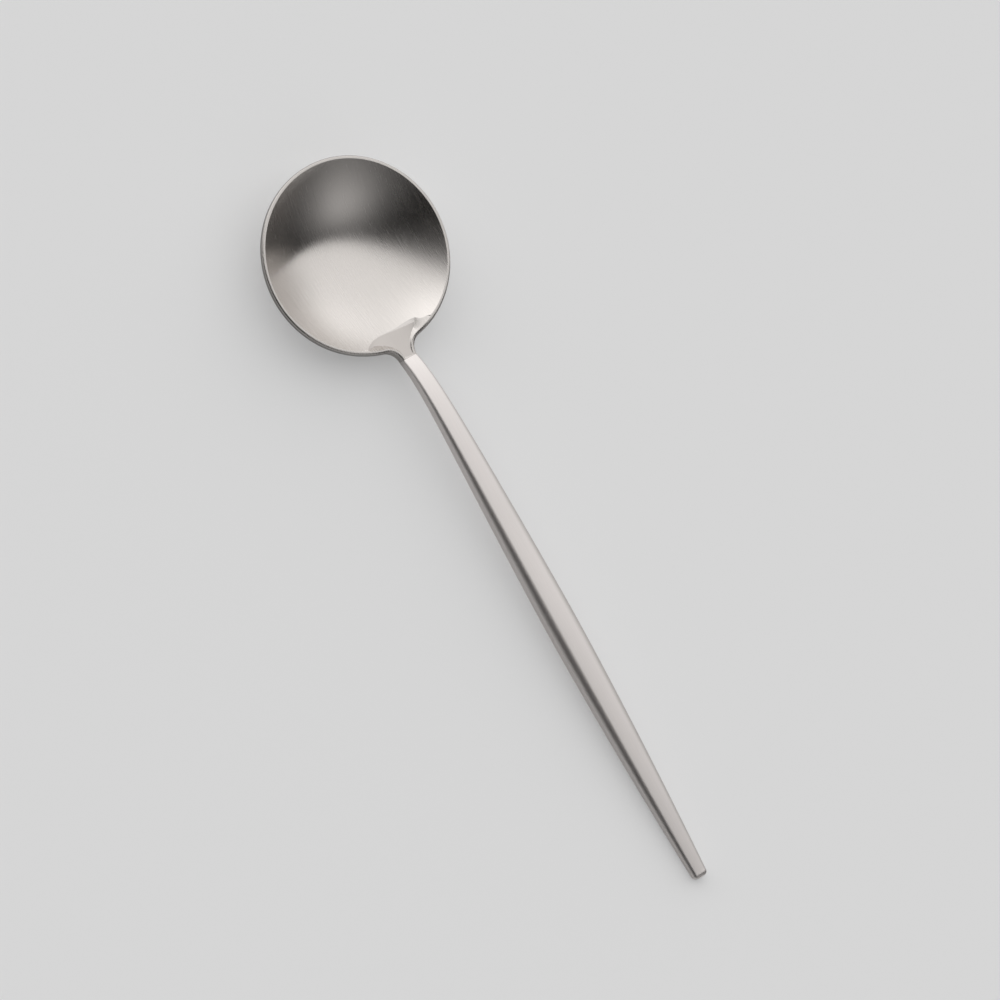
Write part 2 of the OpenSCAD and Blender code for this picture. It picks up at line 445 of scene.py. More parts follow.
    def _spread(
        self, tree: bpy.types.NodeTree, value: bpy.types.NodeSocket, low: float, high: float
    ) -> bpy.types.NodeSocket:
        """Maps a noise's usual values to a range.

        Args:
            tree: the material's nodes.
            value: the noise's value.
            low: the range's low end.
            high: its high end.

        Returns:
            The mapped value.
        """
        spread = tree.nodes.new("ShaderNodeMapRange")
        spread.inputs["From Min"].default_value = self.noise_low
        spread.inputs["From Max"].default_value = self.noise_high
        spread.inputs["To Min"].default_value = low
        spread.inputs["To Max"].default_value = high
        tree.links.new(value, spread.inputs["Value"])
        return spread.outputs["Result"]


@dataclass(frozen=True)
class GroundFacet(BrushedSteel):
    """The matte facet ground across the bowl's root, a little askew, amid the brushed finish."""

    beyond: BrushedSteel | None = None
    front_x: float = -0.05055
    front_slant: float = 0.115
    side_y: float = 0.0053
    neck_x: float = -0.04378
    neck_slant: float = 0.19
    corner: float = 0.0008
    edge: float = 0.00012

    def in_facet(
        self, tree: bpy.types.NodeTree, value: bpy.types.NodeSocket, kind: Kind
    ) -> bpy.types.NodeSocket:
        """Keeps a value to the facet and takes the brushed finish's own beyond it.

        Args:
            tree: the material's nodes.
            value: the facet's colour or roughness.
            kind: which of the two it is.

        Returns:
            The mixed value.
        """
        around = self.beyond.roughness if kind is Kind.NUMBER else self.beyond.shade(1.0)
        return mixed(tree, kind, around, value, self._inside(tree))

    def _inside(self, tree: bpy.types.NodeTree) -> Term:
        """Works out whether a place lies in the facet.

        Args:
            tree: the material's nodes.

        Returns:
            The facet's share: 1 within its three edges, with round corners, and 0 beyond them.
        """
        place = tree.nodes.new("ShaderNodeSeparateXYZ")
        coords = tree.nodes.new("ShaderNodeTexCoord")
        tree.links.new(coords.outputs["Object"], place.inputs["Vector"])
        x, y = Term(tree, place.outputs["X"]), Term(tree, place.outputs["Y"])
        front = x - y * self.front_slant - self.front_x
        neck = -(x - y * self.neck_slant - self.neck_x)
        side = -(y - self.side_y)
        near = front.math("SMOOTH_MIN", side, self.corner).math("SMOOTH_MIN", neck, self.corner)
        return (near / (2 * self.edge) + 0.5).clamp()


@dataclass(frozen=True)
class TableFinish:
    """A plain pale matte table, mixed with its own pale tone to the camera alone."""

    name: str = "pale_table"
    colour: tuple[float, float, float] = (0.88, 0.88, 0.88)
    roughness: float = 0.9
    specular: float = 0.15
    seen_colour: tuple[float, float, float] = (0.71, 0.71, 0.71)
    seen_share: float = 0.4

    def material(self) -> bpy.types.Material:
        """Builds the table's finish.

        Returns:
            A matte material of one pale colour.
        """
        made = bpy.data.materials.new(self.name)
        made.use_nodes = True
        tree = made.node_tree
        shader = tree.nodes["Principled BSDF"]
        shader.inputs["Base Color"].default_value = (*self.colour, 1)
        shader.inputs["Roughness"].default_value = self.roughness
        shader.inputs["Specular IOR Level"].default_value = self.specular
        pale = tree.nodes.new("ShaderNodeEmission")
        pale.inputs["Color"].default_value = (*self.seen_colour, 1)
        path = tree.nodes.new("ShaderNodeLightPath")
        share = Term(tree, path.outputs["Is Camera Ray"]) * self.seen_share
        both = tree.nodes.new("ShaderNodeMixShader")
        for socket, value in zip(both.inputs, (share, shader.outputs["BSDF"], pale.outputs["Emission"])):
            feed(tree, socket, value)
        tree.links.new(both.outputs["Shader"], tree.nodes["Material Output"].inputs["Surface"])
        return made


# The bowl's rim is darkened as painted shade, down to 0.4 of the colour on its outer side
BOWL_STEEL = BrushedSteel("bowl_steel", (0.59, 0.56, 0.535), roughness=0.25, stretch=0.9)
HEEL_STEEL = GroundFacet(
    "heel_steel", (0.57, 0.535, 0.51), roughness=0.5, stretch=0.3, tone=0.03, beyond=BOWL_STEEL
)
# The handle's rounded corners are darkened as painted shade, to three quarters of the colour
HANDLE_STEEL = BrushedSteel(
    "handle_steel", (0.7, 0.66, 0.64), roughness=0.38, stretch=0.75, tone=0.03, painted_shade_light=0.75
)


# Helpers


def mix(a: float | np.ndarray, b: float | np.ndarray, share: float) -> float | np.ndarray:
    """Mixes two numbers, with the given share of the second."""
    return a + (b - a) * share


def bell(angle: float, reach: float, power: float) -> float:
    """A bump that is 1 at the neck and dies away round the rim."""
    return 1 / (1 + (abs(angle) / reach) ** power)


def gentle(share: float) -> float:
    """A share held between 0 and 1 that starts and ends gently."""
    held = min(1.0, max(0.0, share))
    return held * held * (3 - 2 * held)


def even_shares(start: float, end: float, rings: int) -> list[float]:
    """Evenly spaced shares of a ray, after the start and up to the end."""
    return [mix(start, end, i / rings) for i in range(1, rings + 1)]


def smooth_all(mesh: bpy.types.Mesh, crease_degrees: float) -> None:
    """Shades a mesh smooth except at creases.

    Args:
        mesh: the mesh.
        crease_degrees: the least angle between two faces that stays a crease.
    """
    mesh.polygons.foreach_set("use_smooth", [True] * len(mesh.polygons))
    mesh.set_sharp_from_angle(angle=math.radians(crease_degrees))


def hang(piece: bpy.types.Object, node: str) -> None:
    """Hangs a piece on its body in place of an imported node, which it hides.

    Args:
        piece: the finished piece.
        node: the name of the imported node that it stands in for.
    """
    bpy.context.scene.collection.objects.link(piece)
    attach(piece, BODY)
    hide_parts(node)


@dataclass
class Shell:
    """A mesh in the making: its points with their UV places and their share of edge wear and painted
    shade, and its faces.
    """

    points: list[np.ndarray] = field(default_factory=list)
    places: list[tuple[float, float]] = field(default_factory=list)
    wear_and_shade: list[float] = field(default_factory=list)
    faces: list[tuple[int, ...]] = field(default_factory=list)
    slots: list[int] = field(default_factory=list)

    def add(self, point: np.ndarray, place: tuple[float, float], worn_and_shaded: float = 0.0) -> int:
        """Adds a point.

        Args:
            point: where it lies.
            place: where it lies on the UV map.
            worn_and_shaded: its share of edge wear and painted shade, from 0 to 1.

        Returns:
            The point's number.
        """
        self.points.append(point)
        self.places.append(place)
        self.wear_and_shade.append(worn_and_shaded)
        return len(self.points) - 1

    def face(self, corners: tuple[int, ...], slot: int = 0) -> None:
        """Adds a face in a material slot."""
        self.faces.append(corners)
        self.slots.append(slot)

    def strip(self, row: list[int], after: list[int], ground: range = range(0)) -> None:
        """Adds the faces between two rows of points.

        Args:
            row: the points of a row.
            after: the points of the next row. Where either row is empty, no face is added.
            ground: which of the faces go into the second material slot.
        """
        for i in range(min(len(row), len(after)) - 1):
            self.face((row[i], row[i + 1], after[i + 1], after[i]), int(i in ground))

    def mesh(self, name: str, crease_degrees: float) -> bpy.types.Mesh:
        """Makes the mesh.

        Args:
            name: its name.
            crease_degrees: the least angle between two faces that stays a crease.

        Returns:
            The mesh, with its UV map and its share of edge wear and painted shade as an attribute.
        """
        mesh = bpy.data.meshes.new(name)
        mesh.from_pydata([tuple(point) for point in self.points], [], self.faces)
        mesh.polygons.foreach_set("material_index", self.slots)
        layer = mesh.uv_layers.new(name=UV_NAME)
        for corner in mesh.loops:
            layer.data[corner.index].uv = self.places[corner.vertex_index]
        mesh.attributes.new(WEAR_AND_SHADE_NAME, "FLOAT", "POINT").data.foreach_set("value", self.wear_and_shade)
        mesh.update()
        smooth_all(mesh, crease_degrees)
        return mesh


# Bowl


@dataclass(frozen=True)
class Ray:
    """The numbers of a ray's points, each row from the middle or the lip outwards."""

    hollow: list[int]
    rim: list[int]
    under: list[int]
    on_heel: bool


@dataclass
class Bowl:
    """The bowl with its rim, its flat heel and the half of the neck that belongs to it."""

    sizes: SpoonSizes = field(default_factory=SpoonSizes)
    finish: BrushedSteel = BOWL_STEEL
    heel_finish: BrushedSteel = HEEL_STEEL

    # Rays round the bowl, and rings from its middle to the rim
    side_rays: int = 200
    face_rays: int = 5
    ray_power: float = 1.6
    hollow_rings: int = 64
    crease_ring: int = 44
    wall_ring: int = 56
    under_rings: int = 44
    fold_ring: int = 30
    ring_power: float = 1.7
    edge_steps: int = 6

    # Where the rings stand that follow the creases, as shares of a ray
    last_crease: float = 0.985
    last_wall: float = 0.995
    least_heel: float = 0.15
    least_cut: float = 0.001
    halvings: int = 24
    normal_step: float = 0.05
    face_margin: float = 1e-9

    # Heel, its side wall where the facet was ground short, and the groove at its front
    heel_reach: float = 60.0
    short_from: float = 5.0
    short_run: float = 15.0
    short_slope: float = 0.48
    groove_far: float = 0.0005
    groove_near: float = 0.0002
    groove_depth: float = 0.000015
    groove_end: float = 0.005

    # Rim, the painted shade and wear on its top, and dressing
    lip_softness: float = 0.00012
    top_reach: float = 0.95
    top_wear_and_shade: float = 0.3
    under_shift: float = 0.2
    crease_degrees: float = 24.0

    def __post_init__(self) -> None:
        """Works out the derived sizes."""
        s = self.sizes
        self.half_length = s.bowl_length / 2
        self.half_width = s.bowl_width / 2
        self.half_neck = s.neck_width / 2
        self.neck_run = s.neck_x - s.bowl_x
        self.stretch = self.half_length / self.half_width
        self.rim_top = s.wall + s.bowl_depth
        self.fillet_x = self.neck_run / self.stretch
        self.fillet = (
            (self.fillet_x**2 - self.half_width**2 + self.half_neck**2)
            / (self.half_width - self.half_neck)
            / 2
        )
        self.fillet_y = self.half_neck + self.fillet
        self.neck_angle = math.degrees(math.atan(self.half_neck / self.neck_run))
        self.fillet_angle = math.degrees(math.atan(self.fillet_y / self.fillet_x / self.stretch))
        self.neck_dip = self.flat_rim(0.0) - s.neck_top
        neck_section = self.rim_profile(self.neck_angle)
        self.face_top = neck_section[0][0][2]
        self.face_low = neck_section[-1][0][2]

    # Outline

    def oval(self, angle: float, a: float, b: float) -> float:
        """Distance from the bowl's middle to an oval with the given half sizes."""
        t = math.radians(angle)
        return a * b / math.hypot(b * math.cos(t), a * math.sin(t))

    def outline_distance(self, angle: float) -> float:
        """Distance from the bowl's middle to the outline.

        Args:
            angle: the ray's direction.

        Returns:
            The distance, on the oval or on the fillet that leads into the neck.
        """
        if angle >= self.fillet_angle:
            return self.oval(angle, self.half_length, self.half_width)
        t = math.radians(angle)
        flat = math.atan2(math.sin(t) * self.stretch, math.cos(t))
        along = self.fillet_x * math.cos(flat) + self.fillet_y * math.sin(flat)
        gap = (self.half_width + self.fillet) ** 2 - self.fillet**2
        reach = along - math.sqrt(max(0.0, along**2 - gap))
        return reach * math.hypot(math.cos(flat) * self.stretch, math.sin(flat))

    def half_point(self, angle: float) -> np.ndarray:
        """Point of the outline on the left half.

        Args:
            angle: the ray's direction, from 0 to 180.

        Returns:
            The point in the plan.
        """
        if angle <= self.neck_angle:
            return np.array([self.sizes.neck_x, self.half_neck])
        t = math.radians(angle)
        reach = self.outline_distance(angle)
        return np.array([self.sizes.bowl_x + reach * math.cos(t), reach * math.sin(t)])

    def half_normal(self, angle: float) -> np.ndarray:
        """Direction square to the outline on the left half.

        Args:
            angle: the ray's direction, from 0 to 180.

        Returns:
            The direction in the plan, pointing out.
        """
        if angle <= self.neck_angle:
            return np.array([0.0, 1.0])
        if angle >= 180:
            return np.array([-1.0, 0.0])
        step = self.half_point(angle + self.normal_step) - self.half_point(angle - self.normal_step)
        return np.array([step[1], -step[0]]) / np.hypot(*step)

    def outline(self, angle: float) -> tuple[np.ndarray, np.ndarray]:
        """Point of the outline and its outward direction, on either half."""
        side = np.array([1.0, -1.0 if angle < 0 else 1.0])
        return self.half_point(abs(angle)) * side, self.half_normal(abs(angle)) * side

    # Heights

    def flat_rim(self, angle: float) -> float:
        """Height of the tilted rim before it dips to the neck."""
        along = self.oval(angle, self.half_length, self.half_width) * math.cos(math.radians(angle))
        return self.rim_top - math.tan(math.radians(self.sizes.rim_pitch)) * along

    def rim_z(self, angle: float) -> float:
        """Height of the rim."""
        s = self.sizes
        return self.flat_rim(angle) - self.neck_dip * bell(angle, s.dip_reach, s.dip_power)

    def edge_height(self, angle: float) -> float:
        """Height of the rim's outer edge, which grows into the neck."""
        s = self.sizes
        return mix(s.rim_height, s.neck_thickness, bell(angle, s.root_reach, s.root_power))

    def oval_share(self, p: np.ndarray, a: float, b: float) -> float:
        """Share of the way out to an oval."""
        return math.hypot((p[0] - self.sizes.bowl_x) / a, p[1] / b)

    def lip_gap(self, p: np.ndarray, angle: float) -> float:
        """Distance in the plan from the inner lip of the rim.

        Args:
            p: a point of the plan.
            angle: the direction of its ray.

        Returns:
            The distance, from the fillet by the neck and from the oval elsewhere.
        """
        s = self.sizes
        if abs(angle) < self.fillet_angle:
            along = (p[0] - s.bowl_x) / self.stretch - self.fillet_x
            return math.hypot(along, abs(p[1]) - self.fillet_y) - self.fillet - s.rim_width
        out = self.oval_share(p, self.half_length, self.half_width)
        return (1 - out) * self.oval(angle, self.half_length, self.half_width) - s.rim_width

    def pressed_z(self, p: np.ndarray, angle: float) -> float:
        """Height of the pressed hollow.

        Args:
            p: a point of the plan.
            angle: the direction of its ray.

        Returns:
            The height, before the heel is cut.
        """
        s = self.sizes
        out = self.oval_share(p, self.half_length - s.rim_width, self.half_width - s.rim_width)
        return mix(s.wall, self.flat_rim(angle), out**s.hollow_power)

    def heel_z(self, p: np.ndarray) -> float:
        """Height of the heel.

        Args:
            p: a point of the plan.

        Returns:
            The height, on a slope that is flat in the middle and turns up at its sides.
        """
        s = self.sizes
        upturn = s.heel_upturn * (2 * abs(p[1]) / s.heel_width) ** s.heel_power
        return s.neck_top - s.heel_fall * (s.neck_x - p[0]) + upturn

    def heel_wall_z(self, p: np.ndarray, angle: float) -> float:
        """Height of the wall that leads down from the rim to the side of the heel.

        Args:
            p: a point of the plan.
            angle: the direction of its ray.

        Returns:
            The height. The wall is gentler on the side where the facet was ground short.
        """
        short = gentle((angle - self.short_from) / self.short_run)
        slope = mix(self.sizes.heel_wall_slope, self.short_slope, short)
        return self.rim_z(angle) - slope * self.lip_gap(p, angle)

    def cut_z(self, p: np.ndarray, angle: float) -> float:
        """Height of the heel and its walls, which cut the hollow down by the neck."""
        return min(self.rim_z(angle), max(self.heel_z(p), self.heel_wall_z(p, angle)))

    def hollow_z(self, p: np.ndarray, angle: float) -> float:
        """Height of the bowl's inside."""
        pressed = self.pressed_z(p, angle)
        return pressed if abs(angle) > self.heel_reach else min(pressed, self.cut_z(p, angle))

    def outer_z(self, p: np.ndarray, angle: float) -> float:
        """Height of the bowl's outside away from the neck."""
        out = self.oval_share(p, self.half_length, self.half_width)
        return (self.flat_rim(angle) - self.sizes.rim_height) * out**self.sizes.hollow_power

    def root_z(self, angle: float) -> float:
        """Height of the underside of the neck's root."""
        return self.rim_z(angle) - self.edge_height(angle)

    def under_z(self, p: np.ndarray, angle: float, share: float) -> float:
        """Height of the underside.

        Args:
            p: a point of the plan.
            angle: the direction of its ray.
            share: its share of the way out along the ray.

        Returns:
            The height, where the root runs softly into the bowl's outside.
        """
        s = self.sizes
        softness = bell(angle, s.root_reach, s.root_power) * share * (1 - share**s.root_power)
        root, outer = self.root_z(angle), self.outer_z(p, angle)
        return (root + outer - math.hypot(root - outer, s.root_blend * softness)) / 2

    # Rays and rings

    def ray_angles(self) -> list[float]:
        """Lists the directions of the rays.

        Returns:
            The directions, a few on the neck's end face and the rest on the rim, from the neck's
            middle to the left and back to it from the right.
        """
        half_face = math.degrees(math.atan((self.half_neck - self.sizes.rim_width) / self.neck_run))
        face = [half_face * i / (self.face_rays + 1) for i in range(1, self.face_rays + 1)]
        side = [
            mix(self.neck_angle, 180.0, (i / self.side_rays) ** self.ray_power)
            for i in range(self.side_rays + 1)
        ]
        return [0.0, *face, *side, *[-a for a in side[-2::-1]], *[-a for a in face[::-1]]]

    def rim_profile(self, angle: float) -> list[tuple[np.ndarray, float]]:
        """Section of the rim at a ray.

        Args:
            angle: the ray's direction.

        Returns:
            Points from the inner lip over the outer edge to the underside, each with the length
            of rim that lies between it and the lip.
        """
        s = self.sizes
        top = self.rim_z(angle)
        low = top - self.edge_height(angle)
        edge, outward = self.outline(angle)

        def at(depth: float, z: float) -> np.ndarray:
            """Point at a depth in from the outline and at a height."""
            flat = edge - outward * depth
            return np.array([flat[0], flat[1], z])

        turns = [math.pi / 2 * i / self.edge_steps for i in range(self.edge_steps + 1)]
        r = s.edge_radius
        points = [at(s.rim_width, top), at(s.rim_width - self.lip_softness, top)]
        points += [at(r * (1 - math.sin(t)), top - r * (1 - math.cos(t))) for t in turns]
        points += [at(r * (1 - math.sin(t)), low + r * (1 - math.cos(t))) for t in turns[::-1]]
        lengths = np.cumsum([0.0, *[np.linalg.norm(b - a) for a, b in zip(points, points[1:])]])
        return list(zip(points, lengths))

    def crossing(self, height: Callable[[float], float], high: float) -> float:
        """Finds where a height first turns positive along a ray.

        Args:
            height: the height at a share of the ray.
            high: the share at which the search ends.

        Returns:
            The share at which it turns positive.
        """
        low = 0.0
        for _ in range(self.halvings):
            middle = (low + high) / 2
            low, high = (low, middle) if height(middle) > 0 else (middle, high)
        return (low + high) / 2

    def plan(self, edge: np.ndarray, share: float) -> np.ndarray:
        """Point of the plan at a share of the way out to an edge point."""
        return np.array([mix(self.sizes.bowl_x, edge[0], share), edge[1] * share])

    def crowded_shares(self, end: float, rings: int) -> list[float]:
        """Shares of a ray from the middle to an end, closer together near the end."""
        return [end * (1 - (1 - i / rings) ** self.ring_power) for i in range(1, rings + 1)]

    def heel_span(self, angle: float, lip: np.ndarray) -> tuple[float, float]:
        """Finds where a ray enters the heel and where it leaves it.

        Args:
            angle: the ray's direction.
            lip: the ray's end on the inner lip.

        Returns:
            The shares of the ray at the front crease and at the foot of the side wall.
        """

        def over_cut(share: float) -> float:
            """Height of the pressed hollow over the cut."""
            p = self.plan(lip, share)
            return self.pressed_z(p, angle) - self.cut_z(p, angle)

        def over_heel(share: float) -> float:
            """Height of the side wall over the heel."""
            p = self.plan(lip, share)
            return self.heel_wall_z(p, angle) - self.heel_z(p)

        start, wall = self.last_crease, self.last_wall
        if abs(angle) <= self.heel_reach:
            start = self.crossing(over_cut, self.last_crease)
            wall = self.crossing(over_heel, self.last_wall)
        return start, max(wall, mix(start, 1.0, self.least_heel))

    def hollow_ray(self, angle: float, lip: np.ndarray) -> tuple[list[np.ndarray], bool]:
        """Points of the hollow along a ray, with one ring on each crease of the heel.

        Args:
            angle: the ray's direction.
            lip: the ray's end on the inner lip.

        Returns:
            The points, and whether the ray crosses the heel.
        """
        start, end = self.heel_span(angle, lip)
        on_heel = start < self.last_crease - self.least_cut
        reach = math.hypot(lip[0] - self.sizes.bowl_x, lip[1])
        room = min(1.0, (end - start) * reach / self.groove_far / 2)
        near, far = (start + step * room / reach for step in (self.groove_near, self.groove_far))
        shares = [
            *self.crowded_shares(start, self.crease_ring),
            near,
            far,
            *even_shares(far, end, self.wall_ring - self.crease_ring - 2),
            *even_shares(end, 1.0, self.hollow_rings - self.wall_ring)[:-1],
        ]
        points = []
        for ring, share in enumerate(shares):
            p = self.plan(lip, share)
            grooved = on_heel and ring == self.crease_ring and p[1] < self.groove_end
            sunk = self.groove_depth * room if grooved else 0.0
            points.append(np.array([p[0], p[1], self.hollow_z(p, angle) - sunk]))
        return [*points, lip], on_heel

    def under_ray(self, angle: float, keel: np.ndarray) -> list[np.ndarray]:
        """Points of the underside along a ray, with one ring on the fold at the root.

        Args:
            angle: the ray's direction.
            keel: the ray's end at the lower edge of the rim.

        Returns:
            The points from the middle outwards.
        """

        def over_root(share: float) -> float:
            """Height of the bowl's outside over the root's underside."""
            return self.outer_z(self.plan(keel, share), angle) - self.root_z(angle)

        fold = self.crossing(over_root, self.last_crease)
        shares = self.crowded_shares(fold, self.fold_ring)
        shares += even_shares(fold, 1.0, self.under_rings - self.fold_ring)[:-1]
        points = []
        for share in shares:
            p = self.plan(keel, share)
            points.append(np.array([p[0], p[1], self.under_z(p, angle, share)]))
        return [*points, keel]

    # Mesh

    def rim_points(
        self, shell: Shell, angle: float, profile: list[tuple[np.ndarray, float]]
    ) -> list[int]:
        """Adds the rim's points between its lip and its lower edge.

        Args:
            shell: the mesh in the making.
            angle: the ray's direction.
            profile: the section of the rim at the ray.

        Returns:
            The points' numbers.
        """
        s = self.sizes
        lip = profile[0][0]
        outward = self.outline(angle)[1]
        top_end = lip[2] - s.edge_radius * self.top_reach
        # Painted shade: the rim's outer side is darkened fully, fading to the top's lighter share by the
        # neck
        side_wear_and_shade = mix(1.0, self.top_wear_and_shade, bell(angle, s.root_reach, s.root_power))
        numbers = []
        for point, length in profile[1:-1]:
            place = lip[:2] + outward * length
            worn_and_shaded = self.top_wear_and_shade if point[2] > top_end else side_wear_and_shade
            numbers.append(shell.add(point, (place[0], place[1]), worn_and_shaded))
        return numbers

    def ray(self, shell: Shell, angle: float) -> Ray:
        """Adds a ray's points.

        Args:
            shell: the mesh in the making.
            angle: the ray's direction.

        Returns:
            The points' numbers. A ray on the neck's end face has none on the rim.
        """
        on_face = abs(angle) < self.neck_angle - self.face_margin
        if on_face:
            profile = []
            y = self.neck_run * math.tan(math.radians(angle))
            lip, keel = (np.array([self.sizes.neck_x, y, z]) for z in (self.face_top, self.face_low))
        else:
            profile = self.rim_profile(angle)
            lip, keel = profile[0][0], profile[-1][0]
        points, on_heel = self.hollow_ray(angle, lip)
        hollow = [shell.add(p, (p[0], p[1])) for p in points]
        # The lip carries the rim top's share of painted shade and wear
        shell.wear_and_shade[hollow[-1]] = 0.0 if on_face else self.top_wear_and_shade
        under = [shell.add(p, (p[0], p[1] + self.under_shift)) for p in self.under_ray(angle, keel)]
        rim = [] if on_face else [hollow[-1], *self.rim_points(shell, angle, profile), under[-1]]
        return Ray(hollow, rim, under, on_heel or on_face)

    def close_neck(self, shell: Shell, rays: list[Ray]) -> None:
        """Closes the neck's end face.

        Args:
            shell: the mesh in the making.
            rays: all rays in order, starting with the middle one of the end face.
        """
        left, right = self.face_rays + 1, len(rays) - self.face_rays - 1
        across = rays[right + 1 :] + rays[:left]
        loop = [ray.hollow[-1] for ray in across]
        loop += rays[left].rim
        loop += [ray.under[-1] for ray in across[::-1]]
        loop += rays[right].rim[::-1]
        neck_x, height = self.sizes.neck_x, (self.face_top + self.face_low) / 2
        middle = shell.add(np.array([neck_x, 0, height]), (neck_x, 0))
        for a, b in zip(loop, loop[1:] + loop[:1]):
            shell.face((middle, b, a))

    def mesh(self) -> bpy.types.Mesh:
        """Builds the closed mesh.

        Returns:
            The mesh, with UV map, edge wear and painted shade attribute and the heel in its second
            material slot.
        """
        s = self.sizes
        shell = Shell()
        rays = [self.ray(shell, angle) for angle in self.ray_angles()]
        middle_top = shell.add(np.array([s.bowl_x, 0, s.wall]), (s.bowl_x, 0))
        middle_low = shell.add(np.array([s.bowl_x, 0, 0]), (s.bowl_x, self.under_shift))
        heel = range(self.crease_ring - 1, self.wall_ring - 1)
        for ray, after in zip(rays, rays[1:] + rays[:1]):
            shell.face((middle_top, ray.hollow[0], after.hollow[0]))
            shell.face((middle_low, after.under[0], ray.under[0]))
            shell.strip(ray.hollow, after.hollow, heel if ray.on_heel and after.on_heel else range(0))
            shell.strip(after.under, ray.under)
            shell.strip(ray.rim, after.rim)
        self.close_neck(shell, rays)
        return shell.mesh("soup_bowl", self.crease_degrees)

    def build(self) -> bpy.types.Object:
        """Builds the piece and hangs it on its body.

        Returns:
            The finished bowl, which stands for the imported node.
        """
        piece = bpy.data.objects.new("soup_bowl", self.mesh())
        piece.data.materials.append(self.finish.material())
        piece.data.materials.append(self.heel_finish.material())
        hang(piece, "bowl")
        return piece


# Handle


@dataclass(frozen=True)
class Section:
    """The handle's section at a station, as numbers in the node tree."""

    x: Term
    centre: Term
    half_width: Term
    half_thickness: Term
    corner: Term


@dataclass
class Handle:
    """The handle: a rounded rectangle that swells and narrows along a low arch."""

    sizes: SpoonSizes = field(default_factory=SpoonSizes)
    finish: BrushedSteel = HANDLE_STEEL
    stations: int = 260
    station_power: float = 1.4
    tip_steps: int = 8
    corner_steps: int = 8
    merge: float = 0.000002
    crease_degrees: float = 40.0

    @property
    def rows(self) -> int:
        """Rows of points: the stations, the rounding of the tip and a closing row at each end."""
        return self.stations + self.tip_steps + 3

    @property
    def columns(self) -> int:
        """Points round a section, the last on the first."""
        return 4 * (self.corner_steps + 1) + 1

    def inputs(self) -> dict[str, float]:
        """Lists the sizes that the node tree takes.

        Returns:
            The sizes by the names of the tree's inputs.
        """
        s = self.sizes
        return {
            "Neck Place": s.neck_x,
            "Belly Place": s.belly_x,
            "Rounding Place": s.round_x,
            "Neck Width": s.neck_width,
            "Belly Width": s.handle_width,
            "Tip Width": s.tip_width,
            "Neck Thickness": s.neck_thickness,
            "Belly Thickness": s.handle_thickness,
            "Tip Thickness": s.tip_thickness,
            "Neck Corner": s.edge_radius,
            "Belly Corner": s.handle_radius,
            "Tip Corner": s.tip_radius,
            "Tip Rounding": s.tip_radius,
            "Rise Slope": s.rise_slope,
            "Neck Drop": s.neck_drop,
            "Neck Bend": s.neck_bend,
            "Neck Taper": s.neck_taper_power,
            "Tip Taper": s.tip_taper_power,
            "Tip Length": s.tip_corner,
        }

    def tree(self, material: bpy.types.Material) -> bpy.types.NodeTree:
        """Builds the Geometry Nodes tree that lofts the handle.

        Args:
            material: the finish that the tree sets.

        Returns:
            The node tree, with one named input for each size.
        """
        tree = bpy.data.node_groups.new("handle_loft", "GeometryNodeTree")
        tree.interface.new_socket("Geometry", in_out="INPUT", socket_type="NodeSocketGeometry")
        for name in self.inputs():
            tree.interface.new_socket(name, in_out="INPUT", socket_type="NodeSocketFloat")
        tree.interface.new_socket("Geometry", in_out="OUTPUT", socket_type="NodeSocketGeometry")
        entry = tree.nodes.new("NodeGroupInput")
        size = {name: Term(tree, entry.outputs[name]) for name in self.inputs()}

        index = Term(tree, tree.nodes.new("GeometryNodeInputIndex").outputs["Index"])
        row = ((index + 0.5) / self.columns).math("FLOOR")
        section = self._section(size, row)
        y, z, around, ridge = self._round(section, index - row * self.columns)
        opened = row.clamp() * (-row + (self.rows - 1.0)).clamp()
        place = self._vector(tree, section.x, y * opened, z * opened + section.centre)

        # The UV map runs along the handle and round its section, the same at all corners of a point
        on_points = tree.nodes.new("GeometryNodeFieldOnDomain")
        on_points.data_type = "FLOAT_VECTOR"
        on_points.domain = "POINT"
        tree.links.new(self._vector(tree, section.x, -around), on_points.inputs["Value"])

        grid = tree.nodes.new("GeometryNodeMeshGrid")
        grid.inputs["Size X"].default_value = self.rows - 1
        grid.inputs["Size Y"].default_value = self.columns - 1
        grid.inputs["Vertices X"].default_value = self.rows
        grid.inputs["Vertices Y"].default_value = self.columns
        shape, uv_place = grid.outputs["Mesh"], on_points.outputs["Value"]
        shape = self._store(tree, shape, UV_NAME, "FLOAT2", "CORNER", uv_place)
        # The middles of the corners carry the edge mask: painted shade that darkens them, and more
        # roughness
        shape = self._store(tree, shape, WEAR_AND_SHADE_NAME, "FLOAT", "POINT", ridge)
        shape = self._step(tree, "GeometryNodeFlipFaces", shape)
        shape = self._step(tree, "GeometryNodeSetPosition", shape, Position=place)
        shape = self._step(tree, "GeometryNodeMergeByDistance", shape, Distance=self.merge)
        shape = self._step(tree, "GeometryNodeRealizeInstances", shape)
        shape = self._step(tree, "GeometryNodeSetMaterial", shape, Material=material)
        tree.links.new(shape, tree.nodes.new("NodeGroupOutput").inputs["Geometry"])
        return tree

    def _section(self, size: dict[str, Term], row: Term) -> Section:
        """Works out the handle's section at a row of points.

        Args:
            size: the tree's named inputs.
            row: the row's number, from the neck to the tip.

        Returns:
            The section, drawn in on a quarter circle at the tip.
        """
        body = ((row - 1.0) / self.stations).clamp()
        turn = ((row - (self.stations + 1.0)) / self.tip_steps).clamp() * (math.pi / 2)
        neck, belly, rounding = (size[f"{name} Place"] for name in ("Neck", "Belly", "Rounding"))
        along = neck.to(rounding, body.power(self.station_power))
        neck_share = ((belly - along) / (belly - neck)).clamp().power(size["Neck Taper"])
        tip_share = ((along - belly) / (rounding - belly)).clamp().power(size["Tip Taper"])

        def grown(part: str) -> Term:
            """A size of the section, from its values at the neck, the belly and the tip."""
            widest = size[f"Belly {part}"]
            return widest.to(size[f"Neck {part}"], neck_share) + (size[f"Tip {part}"] - widest) * tip_share

